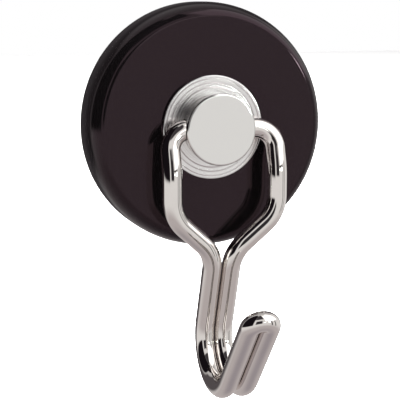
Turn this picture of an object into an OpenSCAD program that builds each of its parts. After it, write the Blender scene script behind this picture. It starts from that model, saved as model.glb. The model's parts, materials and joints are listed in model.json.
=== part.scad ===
// Swivelling wire hook on a round pot magnet that clings to a steel wall.
// Origin: centre of the magnet's contact face. +Y points into the wall, +Z up.
// Heights along the magnet's axis are counted outward from the wall.

/* [Magnet pot] */
// Outer diameter of the steel pot
pot_d = 57; // [55:0.5:63]
// Depth of the pot from its rim to its front face
pot_depth = 11; // [10.5:0.5:14]
// Thickness of the pot's side wall
pot_wall = 2; // [1.5:0.1:2.5]
// Thickness of the pot's front plate
pot_plate = 2; // [1.5:0.1:2.2]
// How far the rounded shoulder reaches in from the side
shoulder_in = 3.3; // [2:0.1:3.6]
// How far the rounded shoulder reaches back from the front
shoulder_back = 6.5; // [3:0.1:7]
// Outer diameter of the ferrite ring
magnet_d = 50; // [46:0.5:50]
// Hole through the ferrite ring
magnet_hole_d = 20; // [19:0.5:24]
// Set-back of the ferrite behind the pot's rim
magnet_recess = 0.3; // [0.1:0.1:0.5]
// Thickness of the glue under the ferrite
glue_t = 0.2; // [0.1:0.1:0.4]

/* [Swivel] */
// Diameter of the chromed collar
collar_d = 24; // [22:0.5:28]
// Height of the collar above the pot's front face
collar_h = 1; // [0.8:0.1:1.6]
// Diameter of the collar's spigot in the pot
spigot_d = 12; // [11:0.5:13]
// Diameter of the turned knob
knob_d = 16.4; // [15.6:0.2:16.6]
// Height of the knob above the collar
knob_h = 6; // [5.9:0.05:7]
// Chamfer round the knob's face
knob_chamfer = 0.5; // [0.2:0.1:0.6]
// Diameter of the knob's stem
stem_d = 8; // [7:0.5:8.5]
// Radial clearance of the stem in the collar, and of the wire in the knob
running_gap = 0.05; // [0.03:0.01:0.08]

/* [Wire hook] */
// Diameter of the hook's wire
wire_d = 4.5; // [4:0.1:4.6]
// Distance between the two legs, centre to centre
leg_spread = 25.2; // [25:0.2:28]
// Height of the legs above the pot's front face
leg_height = 6.7; // [5.8:0.1:7.4]
// Depth at which the legs turn inward, below the knob's axis
leg_drop = 19.5; // [18:0.5:21]
// Depth of the neck, where the two strands come together
neck_drop = 28.7; // [28.2:0.1:32]
// Straight length of the shank below the neck's bend
shank_len = 14.8; // [13:0.1:20]
// Lean of the shank back towards the wall
shank_lean = 19; // [10:0.5:20]
// Radius of the hook's bottom bend, at the wire's centre
bight_r = 9.9; // [8:0.1:12]
// Lean of the hook's point forward from upright
point_lean = 39; // [25:0.5:50]
// Straight length of the hook's point
point_len = 19.8; // [12:0.1:26]
// Sideways play that the hook has slid in its bore
hook_slide = 1; // [-1:0.05:1]

/* [Hidden] */
$fn = 96;
eps = 0.01;

// Pot, ferrite and resin
pot_r = pot_d / 2;
cavity_r = pot_r - pot_wall;
cavity_top = pot_depth - pot_plate;
shoulder_steps = 16;
rim_round = 0.4;
glue_inset = 1;
resin_recess = 0.5;
sleeve_wall = 1.5;
sleeve_recess = 0.6;

// Collar and its flared spigot
collar_top = pot_depth + collar_h;
collar_edge = 0.3;
groove_w = 0.3;
groove_deep = 0.2;
groove_radii = [collar_d / 2 - 0.8, collar_d / 2 - 1.8, collar_d / 2 - 2.8];
flare_r = spigot_d / 2 + 1.2;
flare_t = 0.6;
flare_bottom = cavity_top - flare_t;
bearing_r = stem_d / 2 + running_gap;

// Knob, its stem and what holds it
end_float = 0.05;
knob_base = collar_top + end_float;
knob_top = knob_base + knob_h;
wire_r = wire_d / 2;
bore_r = wire_r + running_gap;
bore_front_wall = 0.7;
bore_axis = knob_top - bore_front_wall - bore_r;
mouth_r = bore_r + 0.35;
mouth_depth = 1.6;
washer_t = 0.8;
washer_r = 7;
washer_hole_r = stem_d / 2 + 0.2;
washer_top = flare_bottom - end_float;
spring_r = 6.5;
spring_t = 0.5;
spring_h = 1.4;
spring_bottom = washer_top - washer_t - spring_h;
clip_t = 0.8;
clip_r = 5.6;
clip_seat_r = stem_d / 2 - 0.7;
clip_mouth_w = 5;
clip_bottom = spring_bottom - clip_t;
stem_end = clip_bottom - 0.8;

// Hook: places are [sideways, height above the front face, up]
half_spread = leg_spread / 2;
corner_r = 4.8;
corner_drop = 9.5;
kink_r = 14;
shoulder_r = 8.8;
neck_r = 8.4;
neck_half = wire_r + 0.1;
neck_height = 5.15;
bight_half = wire_r + 0.05;
tip_half = wire_r + 0.15;
end_gap = 1;
weld_w = 0.2;
weld_proud = 0.02;
bore_height = bore_axis - pot_depth;
shank_dir = [0, -sin(shank_lean), -cos(shank_lean)];
point_dir = [0, sin(point_lean), cos(point_lean)];
bight_turn = acos(shank_dir * point_dir);
bight_tangent = bight_r * tan(bight_turn / 2);
neck = [neck_half, neck_height, -neck_drop];
neck_tangent = neck_r * tan(turn(neck - [half_spread, leg_height, -leg_drop], shank_dir) / 2);
bight = set_x(neck + shank_dir * (neck_tangent + shank_len + bight_tangent), bight_half);
point_end = set_x(bight + point_dir * (bight_tangent + point_len), tip_half);
strand = [[end_gap, bore_height, 0],
          [half_spread, bore_height, 0],
          [half_spread, leg_height, -corner_drop],
          [half_spread, leg_height, -leg_drop],
          neck,
          bight,
          point_end];
strand_bends = [0, corner_r, kink_r, shoulder_r, neck_r, bight_r, 0];

function unit(v) = v / norm(v);
function set_x(v, x) = [x, v[1], v[2]];
function turn(u, v) = acos(unit(u) * unit(v));
// From [sideways, height above the front face, up] to the part's own axes
function place(v) = [v[0], -(pot_depth + v[1]), v[2]];
// Rigid placement with the given x, y and z axes and origin
function frame(x, y, z, o) = [[x[0], y[0], z[0], o[0]],
                              [x[1], y[1], z[1], o[1]],
                              [x[2], y[2], z[2], o[2]],
                              [0, 0, 0, 1]];
// Any direction square to v
function square_to(v) = unit(cross(v, abs(v[0]) > 0.9 ? [0, 0, 1] : [1, 0, 0]));

// Stands a solid that was built upward out from the wall
module outward() {
    rotate([90, 0, 0]) children();
}

// Ring between two heights along the magnet's axis
module ring(outer_r, inner_r, low, high) {
    outward() rotate_extrude() polygon([[inner_r, low], [outer_r, low], [outer_r, high], [inner_r, high]]);
}

module pot_cup() {
    shoulder = [for (i = [0 : shoulder_steps])
        let (a = 90 * i / shoulder_steps)
        [pot_r - shoulder_in * (1 - cos(a)), pot_depth - shoulder_back * (1 - sin(a))]];
    color([0.13, 0.11, 0.12])
    outward() rotate_extrude() polygon(concat(
        [[cavity_r, 0], [pot_r - rim_round, 0], [pot_r, rim_round]],
        shoulder,
        [[spigot_d / 2, pot_depth], [spigot_d / 2, cavity_top], [cavity_r, cavity_top]]));
}

module magnet_glue() {
    color([0.75, 0.68, 0.45])
    ring(magnet_d / 2 - glue_inset, magnet_hole_d / 2 + glue_inset, cavity_top - glue_t, cavity_top);
}

module ring_magnet() {
    color([0.25, 0.25, 0.26])
    ring(magnet_d / 2, magnet_hole_d / 2, magnet_recess, cavity_top - glue_t);
}

module potting_ring() {
    color([0.08, 0.08, 0.09])
    ring(cavity_r, magnet_d / 2, resin_recess, cavity_top);
}

module centre_sleeve() {
    color([0.2, 0.2, 0.22])
    ring(magnet_hole_d / 2, magnet_hole_d / 2 - sleeve_wall, sleeve_recess, cavity_top);
}

module collar_groove(r) {
    outward() rotate_extrude() polygon([[r - groove_w / 2, collar_top + eps],
                                        [r, collar_top - groove_deep],
                                        [r + groove_w / 2, collar_top + eps]]);
}

module collar() {
    r = collar_d / 2;
    color([0.82, 0.82, 0.84])
    difference() {
        outward() rotate_extrude() polygon([[bearing_r, flare_bottom], [flare_r, flare_bottom],
                                            [flare_r, cavity_top], [spigot_d / 2, cavity_top],
                                            [spigot_d / 2, pot_depth], [r, pot_depth],
                                            [r, collar_top - collar_edge],
                                            [r - collar_edge, collar_top], [bearing_r, collar_top]]);
        for (g = groove_radii) collar_groove(g);
    }
}

// Flared mouth at one end of the knob's cross bore, cut on past the knob's side at the same taper
module bore_mouth() {
    translate([knob_d / 2 - mouth_depth, -bore_axis, 0])
        rotate([0, 90, 0]) cylinder(h = 2 * mouth_depth, r1 = bore_r, r2 = 2 * mouth_r - bore_r);
}

module swivel_knob() {
    r = knob_d / 2;
    stem_r = stem_d / 2;
    color([0.86, 0.86, 0.87])
    difference() {
        outward() rotate_extrude() polygon([[0, stem_end], [stem_r, stem_end],
                                            [stem_r, clip_bottom], [clip_seat_r, clip_bottom],
                                            [clip_seat_r, clip_bottom + clip_t],
                                            [stem_r, clip_bottom + clip_t],
                                            [stem_r, knob_base], [r, knob_base],
                                            [r, knob_top - knob_chamfer],
                                            [r - knob_chamfer, knob_top], [0, knob_top]]);
        translate([-knob_d, -bore_axis, 0]) rotate([0, 90, 0]) cylinder(h = 2 * knob_d, r = bore_r);
        bore_mouth();
        mirror([1, 0, 0]) bore_mouth();
    }
}

module thrust_washer() {
    color([0.78, 0.62, 0.3])
    ring(washer_r, washer_hole_r, washer_top - washer_t, washer_top);
}

module disc_spring() {
    color([0.5, 0.5, 0.52])
    outward() rotate_extrude() polygon([[washer_hole_r, spring_bottom],
                                        [spring_r, spring_bottom + spring_h - spring_t],
                                        [spring_r, spring_bottom + spring_h],
                                        [washer_hole_r, spring_bottom + spring_t]]);
}

module retaining_ring() {
    color([0.35, 0.35, 0.37])
    difference() {
        ring(clip_r, clip_seat_r, clip_bottom, clip_bottom + clip_t);
        outward() translate([-clip_mouth_w / 2, 0, clip_bottom - eps])
            cube([clip_mouth_w, clip_r + 1, clip_t + 2 * eps]);
    }
}

// Straight wire between two places
module straight(a, b) {
    z = unit(b - a);
    x = square_to(z);
    multmatrix(frame(x, cross(z, x), z, a)) cylinder(h = norm(b - a), r = wire_r);
}

// Bend of radius r at corner p, between the directions u and v
module bend(p, u, v, r) {
    t = turn(u, v);
    inward = unit(v - u * (u * v));
    start = p - u * (r * tan(t / 2));
    multmatrix(frame(-inward, u, cross(-inward, u), start + inward * r))
        rotate_extrude(angle = t) translate([r, 0]) circle(r = wire_r);
}

// Faint band where a straight meets a bend, which welds the two into one solid
module weld(p, dir) {
    z = unit(dir);
    x = square_to(z);
    multmatrix(frame(x, cross(z, x), z, p - z * weld_w / 2)) cylinder(h = weld_w, r = wire_r + weld_proud);
}

// Round wire along a list of corners, bent at each to the radius given for it
module wire_run(p, radii) {
    last = len(p) - 1;
    dirs = [for (i = [0 : last - 1]) unit(p[i + 1] - p[i])];
    cuts = [for (i = [0 : last])
        i == 0 || i == last ? 0 : radii[i] * tan(turn(dirs[i - 1], dirs[i]) / 2)];
    for (i = [0 : last - 1])
        straight(p[i] + dirs[i] * cuts[i], p[i + 1] - dirs[i] * cuts[i + 1]);
    for (i = [1 : last - 1]) {
        bend(p[i], dirs[i - 1], dirs[i], radii[i]);
        weld(p[i] - dirs[i - 1] * cuts[i], dirs[i - 1]);
        weld(p[i] + dirs[i] * cuts[i], dirs[i]);
    }
    weld(p[last], dirs[last - 1]);
}

// Half-turn that joins the two strands at the hook's point
module point_turn() {
    out = place(point_dir) - place([0, 0, 0]);
    multmatrix(frame([1, 0, 0], out, cross([1, 0, 0], out), place(set_x(point_end, 0))))
        rotate_extrude(angle = 180) translate([tip_half, 0]) circle(r = wire_r);
}

module wire_hook() {
    right = [for (v = strand) place(v)];
    color([0.8, 0.8, 0.82])
    translate([hook_slide, 0, 0]) {
        wire_run(right, strand_bends);
        mirror([1, 0, 0]) wire_run(right, strand_bends);
        point_turn();
    }
}

pot_cup();
magnet_glue();
ring_magnet();
potting_ring();
centre_sleeve();
collar();
swivel_knob();
thrust_washer();
disc_spring();
retaining_ring();
wire_hook();
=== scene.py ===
import json
import math

import bmesh
import bpy
from mathutils import Matrix, Vector


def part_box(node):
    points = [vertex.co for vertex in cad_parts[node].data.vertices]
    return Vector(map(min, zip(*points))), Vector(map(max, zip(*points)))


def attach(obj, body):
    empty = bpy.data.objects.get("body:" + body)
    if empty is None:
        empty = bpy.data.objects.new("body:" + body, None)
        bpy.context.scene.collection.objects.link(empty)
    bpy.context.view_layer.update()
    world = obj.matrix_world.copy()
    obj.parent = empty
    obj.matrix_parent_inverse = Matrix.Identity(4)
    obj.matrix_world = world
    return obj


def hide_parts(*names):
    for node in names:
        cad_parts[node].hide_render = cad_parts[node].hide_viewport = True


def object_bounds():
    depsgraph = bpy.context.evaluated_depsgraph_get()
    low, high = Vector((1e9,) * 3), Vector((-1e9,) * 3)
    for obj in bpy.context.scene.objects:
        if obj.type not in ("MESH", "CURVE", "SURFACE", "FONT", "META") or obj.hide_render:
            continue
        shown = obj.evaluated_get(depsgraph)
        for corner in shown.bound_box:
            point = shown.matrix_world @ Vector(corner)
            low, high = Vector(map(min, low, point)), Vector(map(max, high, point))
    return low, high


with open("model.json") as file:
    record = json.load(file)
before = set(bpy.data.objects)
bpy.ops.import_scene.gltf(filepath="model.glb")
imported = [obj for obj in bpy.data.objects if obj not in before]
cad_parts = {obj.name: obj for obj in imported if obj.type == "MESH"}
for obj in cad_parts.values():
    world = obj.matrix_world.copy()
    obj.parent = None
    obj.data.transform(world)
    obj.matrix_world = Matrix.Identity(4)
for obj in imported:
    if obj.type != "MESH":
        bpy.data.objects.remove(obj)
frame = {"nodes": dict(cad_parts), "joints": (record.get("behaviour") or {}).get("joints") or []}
CAD_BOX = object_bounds()

MM = 0.001

# ---------------------------------------------------------------- sizes from the frame
POT_LOW, POT_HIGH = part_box("pot_cup")
COLLAR_LOW, COLLAR_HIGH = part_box("collar")
KNOB_LOW, KNOB_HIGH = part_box("swivel_knob")
HOOK_LOW, HOOK_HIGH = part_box("wire_hook")
JOINTS = {j["name"]: j for j in frame["joints"]}
SWING_AXIS = Vector(JOINTS["hook_swing"]["pos_m"])

# Distances out from the wall, along -Y
POT_R = POT_HIGH.x
POT_FRONT = -POT_LOW.y
COLLAR_R = COLLAR_HIGH.x
COLLAR_FRONT = -COLLAR_LOW.y
COLLAR_BACK = -COLLAR_HIGH.y
KNOB_R = KNOB_HIGH.x
KNOB_FRONT = -KNOB_LOW.y
STEM_END = -KNOB_HIGH.y
BORE_OUT = -SWING_AXIS.y

# Pot
SHOULDER_IN = 3.3 * MM
SHOULDER_BACK = 6.5 * MM
POT_WALL = 2.0 * MM
POT_PLATE = 2.0 * MM
RIM_ROUND = 0.4 * MM

# Collar and knob
SPIGOT_R = 6.0 * MM
FLARE_R = 7.2 * MM
FLARE_T = 0.6 * MM
BEARING_R = 4.05 * MM
GROOVES = (11.2 * MM, 10.2 * MM, 9.2 * MM)
GROOVE_W = 0.3 * MM
GROOVE_DEEP = 0.2 * MM
COLLAR_EDGE = 0.3 * MM
KNOB_BASE = COLLAR_FRONT + 0.05 * MM
KNOB_CHAMFER = 0.5 * MM
STEM_R = 4.0 * MM
CLIP_SEAT_R = 3.3 * MM
CLIP_T = 0.8 * MM
CLIP_BOTTOM = STEM_END + 0.8 * MM
BORE_R = 2.3 * MM
MOUTH_R = 2.65 * MM
MOUTH_DEPTH = 1.6 * MM

# Hook: places are (sideways, height above the pot's front face, up)
WIRE_R = 2.25 * MM
HALF_SPREAD = 12.6 * MM
LEG_HEIGHT = 6.7 * MM
LEG_DROP = 19.5 * MM
CORNER_R = 4.8 * MM
CORNER_DROP = 9.5 * MM
KINK_R = 14.0 * MM
SHOULDER_R = 8.8 * MM
NECK_R = 8.4 * MM
NECK_HALF = WIRE_R + 0.1 * MM
NECK_HEIGHT = 5.15 * MM
NECK_DROP = 28.7 * MM
SHANK_LEN = 14.8 * MM
SHANK_LEAN = math.radians(19)
BIGHT_R = 9.9 * MM
POINT_LEAN = math.radians(39)
POINT_LEN = 19.8 * MM
BIGHT_HALF = WIRE_R + 0.05 * MM
TIP_HALF = WIRE_R + 0.15 * MM
END_GAP = 1.0 * MM
HOOK_SLIDE = (HOOK_LOW.x + HOOK_HIGH.x) / 2

TURN_SEGMENTS = 256
SHOULDER_STEPS = 40
FLAT_ROWS = 12
KNOB_SIDE_ROWS = 26
KNOB_FACE_ROWS = 6
BORE_SIDES = 64
POINT_STEPS = 24
WIRE_SIDES = 48
BEND_STEP = math.radians(3)
STRAIGHT_STEP = 1.0 * MM


# ---------------------------------------------------------------- mesh tools
def finish_mesh(name, bm, sharp_deg=35):
    """Object from a bmesh, smooth but for edges sharper than sharp_deg."""
    bmesh.ops.recalc_face_normals(bm, faces=bm.faces)
    for face in bm.faces:
        face.smooth = True
    for edge in bm.edges:
        if len(edge.link_faces) == 2:
            edge.smooth = edge.calc_face_angle() < math.radians(sharp_deg)
    mesh = bpy.data.meshes.new(name)
    bm.to_mesh(mesh)
    bm.free()
    obj = bpy.data.objects.new(name, mesh)
    bpy.context.scene.collection.objects.link(obj)
    return obj


def turned(name, outline, sharp_deg=35, closed=True):
    """Solid turned about the magnet's axis from (radius, distance out) points.

    A point at radius 0 becomes one vertex, so a face that reaches the axis is a fan.
    """
    bm = bmesh.new()
    rings = []
    for radius, out in outline:
        if radius < 1e-7:
            rings.append([bm.verts.new((0, -out, 0))])
            continue
        rings.append([
            bm.verts.new((radius * math.cos(a), -out, radius * math.sin(a)))
            for a in (2 * math.pi * i / TURN_SEGMENTS for i in range(TURN_SEGMENTS))])
    pairs = list(zip(rings, rings[1:]))
    if closed:
        pairs.append((rings[-1], rings[0]))
    for low, high in pairs:
        for i in range(TURN_SEGMENTS):
            k = (i + 1) % TURN_SEGMENTS
            corners = [low[i % len(low)], low[k % len(low)], high[k % len(high)], high[i % len(high)]]
            corners = list(dict.fromkeys(corners))
            if len(corners) > 2:
                bm.faces.new(corners)
    return finish_mesh(name, bm, sharp_deg)


def arc(centre, radius, start_deg, end_deg, steps):
    """Points of an arc in (radius, distance out)."""
    return [(centre[0] + radius * math.cos(math.radians(start_deg + (end_deg - start_deg) * i / steps)),
             centre[1] + radius * math.sin(math.radians(start_deg + (end_deg - start_deg) * i / steps)))
            for i in range(steps + 1)]


# ---------------------------------------------------------------- pieces
def make_pot():
    flat_r = POT_R - SHOULDER_IN
    shoulder = []
    for i in range(SHOULDER_STEPS + 1):
        a = math.pi / 2 * i / SHOULDER_STEPS
        shoulder.append((POT_R - SHOULDER_IN * (1 - math.cos(a)),
                         POT_FRONT - SHOULDER_BACK * (1 - math.sin(a))))
    flat = [(flat_r - (flat_r - SPIGOT_R) * i / FLAT_ROWS, POT_FRONT) for i in range(1, FLAT_ROWS)]
    cavity_r = POT_R - POT_WALL
    cavity_top = POT_FRONT - POT_PLATE
    outline = [(cavity_r, 0.0)]
    outline += arc((POT_R - RIM_ROUND, RIM_ROUND), RIM_ROUND, -90, 0, 8)
    outline += shoulder
    outline += flat
    outline += [(SPIGOT_R, POT_FRONT), (SPIGOT_R, cavity_top), (cavity_r, cavity_top)]
    return turned("pot_shell", outline)


def make_collar():
    top = COLLAR_FRONT
    outline = [(BEARING_R, COLLAR_BACK), (FLARE_R, COLLAR_BACK), (FLARE_R, COLLAR_BACK + FLARE_T),
               (SPIGOT_R, COLLAR_BACK + FLARE_T), (SPIGOT_R, POT_FRONT), (COLLAR_R, POT_FRONT)]
    outline += arc((COLLAR_R - COLLAR_EDGE, top - COLLAR_EDGE), COLLAR_EDGE, 0, 90, 6)
    for r in GROOVES:
        outline += [(r + GROOVE_W / 2, top), (r, top - GROOVE_DEEP), (r - GROOVE_W / 2, top)]
    outline += [(KNOB_R + 0.1 * MM, top), (BEARING_R, top)]
    return turned("collar_turned", outline, sharp_deg=50)


def make_knob():
    side_top = KNOB_FRONT - KNOB_CHAMFER
    outline = [(0.0, STEM_END), (STEM_R, STEM_END), (STEM_R, CLIP_BOTTOM), (CLIP_SEAT_R, CLIP_BOTTOM),
               (CLIP_SEAT_R, CLIP_BOTTOM + CLIP_T), (STEM_R, CLIP_BOTTOM + CLIP_T), (STEM_R, KNOB_BASE)]
    outline += [(KNOB_R, KNOB_BASE + (side_top - KNOB_BASE) * i / KNOB_SIDE_ROWS)
                for i in range(KNOB_SIDE_ROWS + 1)]
    outline += arc((KNOB_R - KNOB_CHAMFER, side_top), KNOB_CHAMFER, 0, 90, 6)[1:]
    outline += [((KNOB_R - KNOB_CHAMFER) * (1 - i / KNOB_FACE_ROWS), KNOB_FRONT)
                for i in range(1, KNOB_FACE_ROWS + 1)]
    knob = turned("knob_turned", outline, closed=False)
    cutter = make_bore_cutter()
    cut = knob.modifiers.new("cross_bore", "BOOLEAN")
    cut.operation = "DIFFERENCE"
    cut.solver = "EXACT"
    cut.object = cutter
    apply_modifiers(knob)
    bpy.data.objects.remove(cutter)
    bm = bmesh.new()
    bm.from_mesh(knob.data)
    bmesh.ops.remove_doubles(bm, verts=bm.verts, dist=1e-7)
    bpy.data.objects.remove(knob)
    return finish_mesh("knob_turned", bm)


def make_bore_cutter():
    """The cross bore with its flared mouths, as a solid to cut away."""
    half = KNOB_R * 1.2
    flare = (MOUTH_R - BORE_R) / MOUTH_DEPTH
    mouth = KNOB_R - MOUTH_DEPTH
    stations = [(-half, BORE_R + flare * (half - mouth)), (-mouth, BORE_R), (mouth, BORE_R),
                (half, BORE_R + flare * (half - mouth))]
    bm = bmesh.new()
    rings = [[bm.verts.new((x, -BORE_OUT + r * math.cos(2 * math.pi * i / BORE_SIDES),
                            r * math.sin(2 * math.pi * i / BORE_SIDES))) for i in range(BORE_SIDES)]
             for x, r in stations]
    for low, high in zip(rings, rings[1:]):
        for i in range(BORE_SIDES):
            k = (i + 1) % BORE_SIDES
            bm.faces.new((low[i], low[k], high[k], high[i]))
    bm.faces.new(rings[0])
    bm.faces.new(rings[-1])
    return finish_mesh("bore_cutter", bm)


def apply_modifiers(obj):
    bpy.context.view_layer.update()
    evaluated = obj.evaluated_get(bpy.context.evaluated_depsgraph_get())
    mesh = bpy.data.meshes.new_from_object(evaluated)
    obj.modifiers.clear()
    obj.data = mesh


def hook_place(v):
    """From (sideways, height above the pot's front face, up) to the frame."""
    return Vector((v[0], -(POT_FRONT + v[1]), v[2]))


def hook_strand():
    """Corners and bend radii of the right-hand strand, from its end in the knob to the point."""
    shank = Vector((0, -math.sin(SHANK_LEAN), -math.cos(SHANK_LEAN)))
    point = Vector((0, math.sin(POINT_LEAN), math.cos(POINT_LEAN)))
    bore_height = BORE_OUT - POT_FRONT
    leg_end = Vector((HALF_SPREAD, LEG_HEIGHT, -LEG_DROP))
    neck = Vector((NECK_HALF, NECK_HEIGHT, -NECK_DROP))
    neck_tangent = NECK_R * math.tan((neck - leg_end).angle(shank) / 2)
    bight_tangent = BIGHT_R * math.tan(shank.angle(point) / 2)
    bight = neck + shank * (neck_tangent + SHANK_LEN + bight_tangent)
    bight.x = BIGHT_HALF
    end = bight + point * (bight_tangent + POINT_LEN)
    end.x = TIP_HALF
    corners = [Vector((END_GAP, bore_height, 0)), Vector((HALF_SPREAD, bore_height, 0)),
               Vector((HALF_SPREAD, LEG_HEIGHT, -CORNER_DROP)), leg_end, neck, bight, end]
    return [hook_place(c) for c in corners], [0, CORNER_R, KINK_R, SHOULDER_R, NECK_R, BIGHT_R, 0]


def rounded_path(corners, radii):
    """Dense points along straight stretches and true arcs."""
    dirs = [(b - a).normalized() for a, b in zip(corners, corners[1:])]
    last = len(corners) - 1
    cuts = [radii[i] * math.tan(dirs[i - 1].angle(dirs[i]) / 2) if 0 < i < last else 0
            for i in range(last + 1)]
    points = []
    for i in range(last):
        start = corners[i] + dirs[i] * cuts[i]
        stop = corners[i + 1] - dirs[i] * cuts[i + 1]
        steps = max(1, round((stop - start).length / STRAIGHT_STEP))
        points += [start.lerp(stop, k / steps) for k in range(steps)]
        if i + 1 < last:
            u, v = dirs[i], dirs[i + 1]
            turn = u.angle(v)
            inward = (v - u * u.dot(v)).normalized()
            centre = stop + inward * radii[i + 1]
            steps = max(2, math.ceil(turn / BEND_STEP))
            points += [centre + (u * math.sin(turn * k / steps) - inward * math.cos(turn * k / steps))
                       * radii[i + 1] for k in range(steps)]
        else:
            points.append(stop)
    return points


def hook_path():
    """The whole wire, from its right end in the knob round the point to its left end."""
    corners, radii = hook_strand()
    right = rounded_path(corners, radii)
    out = corners[-1] - corners[-2]
    out.x = 0
    out.normalize()
    middle = Vector((0, right[-1].y, right[-1].z))
    turn = [middle + Vector((TIP_HALF * math.cos(math.pi * k / POINT_STEPS), 0, 0))
            + out * TIP_HALF * math.sin(math.pi * k / POINT_STEPS) for k in range(1, POINT_STEPS)]
    left = [Vector((-p.x, p.y, p.z)) for p in reversed(right)]
    return [p + Vector((HOOK_SLIDE, 0, 0)) for p in right + turn + left]


def make_hook():
    points = hook_path()
    bm = bmesh.new()
    tangents = [(points[min(i + 1, len(points) - 1)] - points[max(i - 1, 0)]).normalized()
                for i in range(len(points))]
    side = tangents[0].cross(Vector((0, 0, 1))).normalized()
    rings = []
    edge = 0.25 * MM
    for i, (p, t) in enumerate(zip(points, tangents)):
        side = (side - t * side.dot(t)).normalized()
        other = t.cross(side)
        shrink = WIRE_R - edge if i in (0, len(points) - 1) else WIRE_R
        rings.append([bm.verts.new(p + (side * math.cos(2 * math.pi * k / WIRE_SIDES)
                                        + other * math.sin(2 * math.pi * k / WIRE_SIDES)) * shrink)
                      for k in range(WIRE_SIDES)])
    for low, high in zip(rings, rings[1:]):
        for k in range(WIRE_SIDES):
            n = (k + 1) % WIRE_SIDES
            bm.faces.new((low[k], low[n], high[n], high[k]))
    bm.faces.new(rings[0])
    bm.faces.new(rings[-1])
    return finish_mesh("hook_wire", bm, sharp_deg=60)


# ---------------------------------------------------------------- materials
class Nodes:
    """Short ways to build one material's node tree."""

    def __init__(self, name, **principled):
        self.material = bpy.data.materials.new(name)
        self.material.use_nodes = True
        self.tree = self.material.node_tree
        self.shader = self.tree.nodes["Principled BSDF"]
        for key, value in principled.items():
            self.shader.inputs[key.replace("_", " ")].default_value = value

    def add(self, kind, **settings):
        node = self.tree.nodes.new(kind)
        for key, value in settings.items():
            setattr(node, key, value)
        return node

    def link(self, source, target):
        self.tree.links.new(source, target)

    def coords(self):
        return self.add("ShaderNodeTexCoord").outputs["Object"]

    def noise(self, vector, scale, detail=3.0, roughness=0.5):
        node = self.add("ShaderNodeTexNoise")
        node.inputs["Scale"].default_value = scale
        node.inputs["Detail"].default_value = detail
        node.inputs["Roughness"].default_value = roughness
        self.link(vector, node.inputs["Vector"])
        return node.outputs["Fac"]

    def stretch(self, vector, scale):
        node = self.add("ShaderNodeMapping")
        node.inputs["Scale"].default_value = scale
        self.link(vector, node.inputs["Vector"])
        return node.outputs["Vector"]

    def ramp(self, value, low, high, out_low, out_high):
        node = self.add("ShaderNodeMapRange")
        for key, number in zip(("From Min", "From Max", "To Min", "To Max"), (low, high, out_low, out_high)):
            node.inputs[key].default_value = number
        self.link(value, node.inputs["Value"])
        return node.outputs["Result"]

    def colour(self, value, stops):
        node = self.add("ShaderNodeValToRGB")
        ramp = node.color_ramp
        ramp.elements[0].position, ramp.elements[0].color = stops[0][0], (*stops[0][1], 1)
        ramp.elements[1].position, ramp.elements[1].color = stops[-1][0], (*stops[-1][1], 1)
        for position, rgb in stops[1:-1]:
            ramp.elements.new(position).color = (*rgb, 1)
        self.link(value, node.inputs["Fac"])
        return node.outputs["Color"]

    def radius(self):
        """Distance from the magnet's axis."""
        split = self.add("ShaderNodeSeparateXYZ")
        self.link(self.coords(), split.inputs[0])
        join = self.add("ShaderNodeCombineXYZ")
        self.link(split.outputs["X"], join.inputs["X"])
        self.link(split.outputs["Z"], join.inputs["Z"])
        length = self.add("ShaderNodeVectorMath", operation="LENGTH")
        self.link(join.outputs[0], length.inputs[0])
        return length.outputs["Value"]

    def along_radius(self, scale):
        """Texture space that changes only with the radius, for turning marks."""
        join = self.add("ShaderNodeCombineXYZ")
        times = self.add("ShaderNodeMath", operation="MULTIPLY")
        self.link(self.radius(), times.inputs[0])
        times.inputs[1].default_value = scale
        self.link(times.outputs[0], join.inputs["X"])
        return join.outputs[0]

    def bump(self, height, distance, strength=1.0, under=None):
        node = self.add("ShaderNodeBump")
        node.inputs["Distance"].default_value = distance
        node.inputs["Strength"].default_value = strength
        self.link(height, node.inputs["Height"])
        if under:
            self.link(under, node.inputs["Normal"])
        return node.outputs["Normal"]

    def set(self, socket, value):
        self.link(value, self.shader.inputs[socket])


def paint_material():
    """Gloss black coat with a faint orange peel, duller specks and finger haze."""
    n = Nodes("pot_paint", IOR=1.5, Specular_IOR_Level=0.38, Specular_Tint=(1.0, 0.66, 0.79, 1))
    n.shader.inputs["Base Color"].default_value = (0.0012, 0.001, 0.0011, 1)
    place = n.coords()
    haze = n.noise(place, 60, 4)
    n.set("Roughness", n.ramp(haze, 0.3, 0.75, 0.035, 0.085))
    peel = n.noise(place, 900, 2)
    n.set("Normal", n.bump(peel, 0.0000012, 0.6))
    return n.material


def chrome_material(name, tint, rough_low, rough_high, grain):
    """Bright plate: cloudy roughness and faint polishing marks."""
    n = Nodes(name, Metallic=1.0)
    place = n.coords()
    cloud = n.noise(place, 140, 4)
    n.set("Base Color", n.colour(cloud, [(0.3, tuple(c * 0.95 for c in tint)), (0.7, tint)]))
    n.set("Roughness", n.ramp(cloud, 0.3, 0.7, rough_low, rough_high))
    marks = n.noise(n.stretch(place, grain), 1.0, 3, 0.6)
    n.set("Normal", n.bump(marks, 0.0000006, 0.4))
    return n.material


def collar_material():
    """Chrome over lathe marks: fine rings that waver a little round the collar."""
    n = Nodes("collar_chrome", Metallic=1.0)
    n.shader.inputs["Base Color"].default_value = (0.80, 0.78, 0.78, 1)
    rings = n.noise(n.along_radius(3500), 1.0, 4, 0.65)
    patches = n.noise(n.coords(), 420, 3, 0.6)
    n.set("Roughness", n.ramp(patches, 0.3, 0.7, 0.06, 0.14))
    ringed = n.bump(rings, 0.00008, 0.8)
    n.set("Normal", n.bump(patches, 0.00002, 0.35, ringed))
    return n.material


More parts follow.
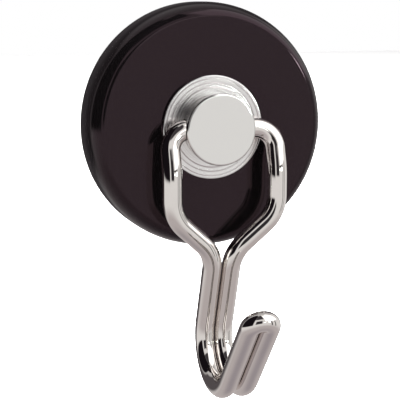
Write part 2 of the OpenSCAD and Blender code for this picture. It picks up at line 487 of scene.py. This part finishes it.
def knob_material():
    """Chrome with a trace of turning rings and small pits."""
    n = Nodes("knob_chrome", Metallic=1.0)
    n.shader.inputs["Base Color"].default_value = (0.86, 0.85, 0.83, 1)
    rings = n.noise(n.along_radius(2500), 1.0, 2)
    cloud = n.noise(n.coords(), 200, 3)
    n.set("Roughness", n.ramp(cloud, 0.3, 0.7, 0.05, 0.12))
    n.set("Normal", n.bump(rings, 0.0000015, 0.5))
    return n.material


def ferrite_material():
    n = Nodes("ferrite")
    place = n.coords()
    grit = n.noise(place, 2600, 6, 0.7)
    n.set("Base Color", n.colour(grit, [(0.3, (0.035, 0.035, 0.038)), (0.7, (0.085, 0.085, 0.09))]))
    n.set("Roughness", n.ramp(grit, 0.3, 0.7, 0.45, 0.7))
    ground = n.noise(n.stretch(place, (60, 60, 3000)), 1.0, 3, 0.6)
    n.set("Normal", n.bump(ground, 0.000012, 0.6, n.bump(grit, 0.00001, 0.5)))
    return n.material


def plastic_material(name, dark, light, rough, scale):
    n = Nodes(name)
    place = n.coords()
    cloud = n.noise(place, scale, 4)
    n.set("Base Color", n.colour(cloud, [(0.3, dark), (0.7, light)]))
    n.set("Roughness", n.ramp(cloud, 0.3, 0.7, rough, rough + 0.18))
    n.set("Normal", n.bump(n.noise(place, scale * 6, 2), 0.000015, 0.5))
    return n.material


def steel_material(name, dark, light, grain):
    n = Nodes(name, Metallic=1.0)
    place = n.coords()
    scratch = n.noise(n.stretch(place, grain), 1.0, 5, 0.65)
    n.set("Base Color", n.colour(scratch, [(0.3, dark), (0.7, light)]))
    n.set("Roughness", n.ramp(scratch, 0.3, 0.7, 0.22, 0.42))
    n.set("Normal", n.bump(scratch, 0.000008, 0.6))
    return n.material


def assign(obj, material):
    obj.data.materials.clear()
    obj.data.materials.append(material)


def paint_cad_node(node, material):
    slots = frame["nodes"][node].material_slots
    for i in range(len(slots)):
        slots[i].material = material


# ---------------------------------------------------------------- build
def place_piece(piece, node, body, material):
    assign(piece, material)
    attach(piece, body)
    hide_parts(node)


place_piece(make_pot(), "pot_cup", "base", paint_material())
place_piece(make_collar(), "collar", "base", collar_material())
place_piece(make_knob(), "swivel_knob", "swivel", knob_material())
place_piece(make_hook(), "wire_hook", "hook",
            chrome_material("wire_chrome", (0.87, 0.83, 0.80), 0.03, 0.07, (900, 900, 90)))

steel = steel_material("spring_steel", (0.24, 0.24, 0.25), (0.45, 0.45, 0.46), (2500, 400, 2500))
paint_cad_node("ring_magnet", ferrite_material())
adhesive = plastic_material("adhesive", (0.45, 0.36, 0.18), (0.62, 0.53, 0.3), 0.3, 400)
resin = plastic_material("resin", (0.012, 0.012, 0.014), (0.03, 0.03, 0.033), 0.25, 300)
sleeve = plastic_material("sleeve", (0.03, 0.03, 0.033), (0.05, 0.05, 0.055), 0.4, 500)
brass = steel_material("washer_brass", (0.55, 0.36, 0.12), (0.8, 0.6, 0.27), (1500, 300, 1500))
paint_cad_node("magnet_glue", adhesive)
paint_cad_node("potting_ring", resin)
paint_cad_node("centre_sleeve", sleeve)
paint_cad_node("thrust_washer", brass)
paint_cad_node("disc_spring", steel)
paint_cad_node("retaining_ring", steel)

# ---------------------------------------------------------------- stage, light, camera
FLOOR_DROP = 60 * MM
FLOOR_HALF = 3.0


def make_floor():
    bm = bmesh.new()
    level = CAD_BOX[0][2] - FLOOR_DROP
    corners = [(-FLOOR_HALF, -FLOOR_HALF), (FLOOR_HALF, -FLOOR_HALF),
               (FLOOR_HALF, FLOOR_HALF), (-FLOOR_HALF, FLOOR_HALF)]
    bm.faces.new([bm.verts.new((x, y, level)) for x, y in corners])
    floor = finish_mesh("floor", bm)
    n = Nodes("floor_white", Roughness=0.8)
    n.shader.inputs["Base Color"].default_value = (0.9, 0.9, 0.9, 1)
    assign(floor, n.material)
    floor.visible_glossy = False


class Studio:
    """World light as patches of brightness by compass direction and elevation, in degrees.

    Direction 0 is out along -Y, and 90 is towards +X.
    """

    def __init__(self, name, colour):
        self.world = bpy.data.worlds.new(name)
        self.world.use_nodes = True
        self.tree = self.world.node_tree
        self.background = self.tree.nodes["Background"]
        split = self.add("ShaderNodeSeparateXYZ")
        self.link(self.add("ShaderNodeTexCoord").outputs["Generated"], split.inputs[0])
        out = self.maths("MULTIPLY", split.outputs["Y"], -1.0)
        self.direction = self.maths("DEGREES", self.maths("ARCTAN2", split.outputs["X"], out))
        self.elevation = self.maths("DEGREES", self.maths("ARCSINE", split.outputs["Z"]))
        self.colour = self.add("ShaderNodeRGB").outputs[0]
        self.colour.default_value = (*colour, 1)

    def add(self, kind):
        return self.tree.nodes.new(kind)

    def link(self, source, target):
        self.tree.links.new(source, target)

    def maths(self, operation, first, second=None):
        node = self.add("ShaderNodeMath")
        node.operation = operation
        self.link(first, node.inputs[0])
        if isinstance(second, float):
            node.inputs[1].default_value = second
        elif second is not None:
            self.link(second, node.inputs[1])
        return node.outputs[0]

    def step(self, value, edge, soft, rising):
        node = self.add("ShaderNodeMapRange")
        node.interpolation_type = "SMOOTHSTEP"
        numbers = (edge - soft, edge + soft, 0.0 if rising else 1.0, 1.0 if rising else 0.0)
        for key, number in zip(("From Min", "From Max", "To Min", "To Max"), numbers):
            node.inputs[key].default_value = number
        self.link(value, node.inputs["Value"])
        return node.outputs["Result"]

    def span(self, value, low, high, soft):
        return self.maths("MULTIPLY", self.step(value, low, soft, True), self.step(value, high, soft, False))

    def patch(self, colour, directions, elevations, soft=3.0):
        """Lays a patch of one colour over what is there."""
        mask = self.maths("MULTIPLY", self.span(self.direction, *directions, soft),
                          self.span(self.elevation, *elevations, soft))
        self.mix(mask, colour)

    def mix(self, mask, colour):
        node = self.add("ShaderNodeMix")
        node.data_type = "RGBA"
        self.link(mask, node.inputs["Factor"])
        self.link(self.colour, node.inputs["A"])
        node.inputs["B"].default_value = (*colour, 1)
        self.colour = node.outputs["Result"]

    def finish(self, backdrop):
        """The camera itself sees a plain backdrop."""
        self.mix(self.add("ShaderNodeLightPath").outputs["Is Camera Ray"], backdrop)
        self.link(self.colour, self.background.inputs["Color"])
        bpy.context.scene.world = self.world


ALL_ROUND = (-200, 200)
TENT = (0.78, 0.77, 0.76)
LOW_TENT = (0.50, 0.46, 0.46)
TABLE = (0.34, 0.31, 0.33)
BACK_ROOM = (0.09, 0.08, 0.085)
BACK_TOP = (0.5, 0.49, 0.49)
CARD = (0.008, 0.006, 0.008)
CAMERA_SIDE = (0.03, 0.027, 0.03)
TOP_CARD = (0.05, 0.045, 0.05)
SOFTBOX = (1.8, 1.8, 1.8)
LAMP = (30.0, 34.0, 32.0)
HAZE = (3.0, 3.3, 3.1)


def make_world():
    """Later patches cover earlier ones."""
    studio = Studio("studio", TENT)
    studio.patch(BACK_TOP, (-200, -100), (40, 100), 8)
    studio.patch(BACK_TOP, (100, 200), (40, 100), 8)
    studio.patch(LOW_TENT, ALL_ROUND, (-110, -27), 14)
    studio.patch(TABLE, ALL_ROUND, (-120, -66), 20)
    studio.patch(BACK_ROOM, (-200, -128), (-25, 40), 8)
    studio.patch(BACK_ROOM, (128, 200), (-25, 40), 8)
    studio.patch(SOFTBOX, (18, 95), (12, 72), 2)
    studio.patch(CARD, (5, 40), (9.5, 12), 0.5)
    studio.patch(CAMERA_SIDE, (-30, 3), (-4, 24), 2)
    studio.patch(TOP_CARD, (-43, 12), (40, 100), 3)
    studio.patch(CARD, (-126, -43), (-6, 80), 2.5)
    studio.patch(CARD, (47, 53), (-24, 10), 1.5)
    studio.patch(CARD, (68, 74), (-24, 10), 1.5)
    studio.patch(LAMP, (35, 41), (3, 7), 1.0)
    studio.patch(HAZE, (8, 20), (4, 7), 1.0)
    studio.finish((1, 1, 1))


KEY_PLACE = (0, -0.1, 1.2)
KEY_TARGET = (0, 0.4, -0.1)
KEY_SIZE = (3.0, 3.0)
KEY_POWER = 230


def make_area(name, place, target, size, power):
    light = bpy.data.lights.new(name, "AREA")
    light.shape = "RECTANGLE"
    light.size, light.size_y = size
    light.energy = power
    obj = bpy.data.objects.new(name, light)
    obj.location = place
    obj.rotation_euler = (Vector(target) - Vector(place)).to_track_quat("-Z", "Y").to_euler()
    obj.visible_glossy = False
    bpy.context.scene.collection.objects.link(obj)


CAMERA_AZ = math.radians(-18.5)
CAMERA_EL = math.radians(9.5)
CAMERA_DISTANCE = 285 * MM
CAMERA_RIGHT_SHIFT = 0.74 * MM
CAMERA_DOWN_SHIFT = 18.54 * MM
CAMERA_LENS = 107.4


def make_camera():
    back = Vector((math.sin(CAMERA_AZ) * math.cos(CAMERA_EL), -math.cos(CAMERA_AZ) * math.cos(CAMERA_EL),
                   math.sin(CAMERA_EL)))
    right = Vector((math.cos(CAMERA_AZ), math.sin(CAMERA_AZ), 0))
    up = back.cross(right)
    place = right * CAMERA_RIGHT_SHIFT - up * CAMERA_DOWN_SHIFT + back * CAMERA_DISTANCE
    camera = bpy.data.cameras.new("camera")
    camera.lens = CAMERA_LENS
    camera.sensor_width = 36
    camera.clip_start = 0.01
    obj = bpy.data.objects.new("camera", camera)
    turn = Matrix((right, up, back)).transposed()
    obj.matrix_world = Matrix.Translation(place) @ turn.to_4x4()
    bpy.context.scene.collection.objects.link(obj)
    bpy.context.scene.camera = obj


make_floor()
make_world()
make_camera()
make_area("key", KEY_PLACE, KEY_TARGET, KEY_SIZE, KEY_POWER)
bpy.context.scene.view_settings.view_transform = "Standard"
